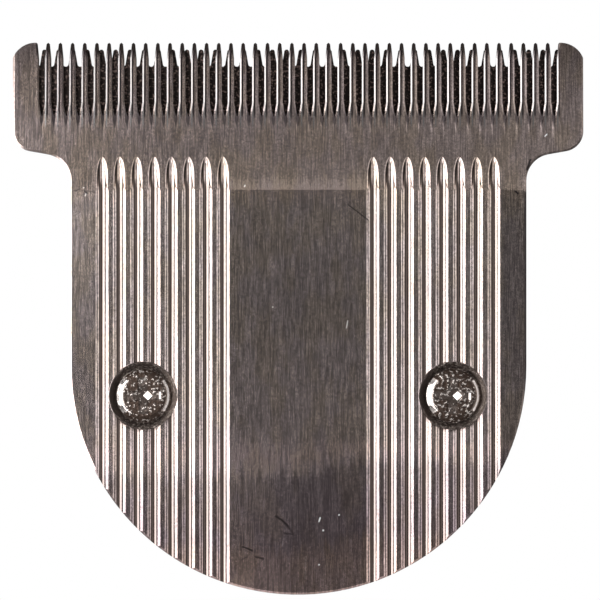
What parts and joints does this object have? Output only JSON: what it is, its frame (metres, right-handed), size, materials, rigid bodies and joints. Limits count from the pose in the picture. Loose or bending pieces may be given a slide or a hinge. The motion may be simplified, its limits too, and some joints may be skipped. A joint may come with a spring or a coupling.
{
  "type": "trimmer blade cartridge",
  "caption": "T-shaped trimmer blade cartridge: toothed steel plate with coined grooves, a sliding cutter comb behind it, spring, and moulded carrier.",
  "frame": {"origin": "middle of the outline, on the plane of the carrier's rim that the cartridge lies on", "axes": "+X along the tooth row, +Y towards the tooth tips, +Z out of the skin face"},
  "size_m": [0.04, 0.0386, 0.0076],
  "materials": {
    "blade_steel": "satin, ground along the length",
    "cutter_steel": "ground",
    "screw_steel": "bright plated",
    "spring_steel": "drawn wire",
    "insert_brass": "turned",
    "carrier_plastic": "fine spark-eroded",
    "follower_plastic": "smooth"
  },
  "bodies": {
    "frame": {"fixed_blade": "blade_steel", "blade_carrier": "carrier_plastic", "tension_spring": "spring_steel", "left_screw": "screw_steel", "right_screw": "screw_steel", "left_insert": "insert_brass", "right_insert": "insert_brass"},
    "cutter": {"moving_cutter": "cutter_steel", "cam_follower": "follower_plastic"}
  },
  "joints": [
    {"name": "cutter_slide", "type": "slide", "parent": "frame", "child": "cutter", "axis": [1, 0, 0], "range_m": [-0.0014, 0.001]}
  ]
}
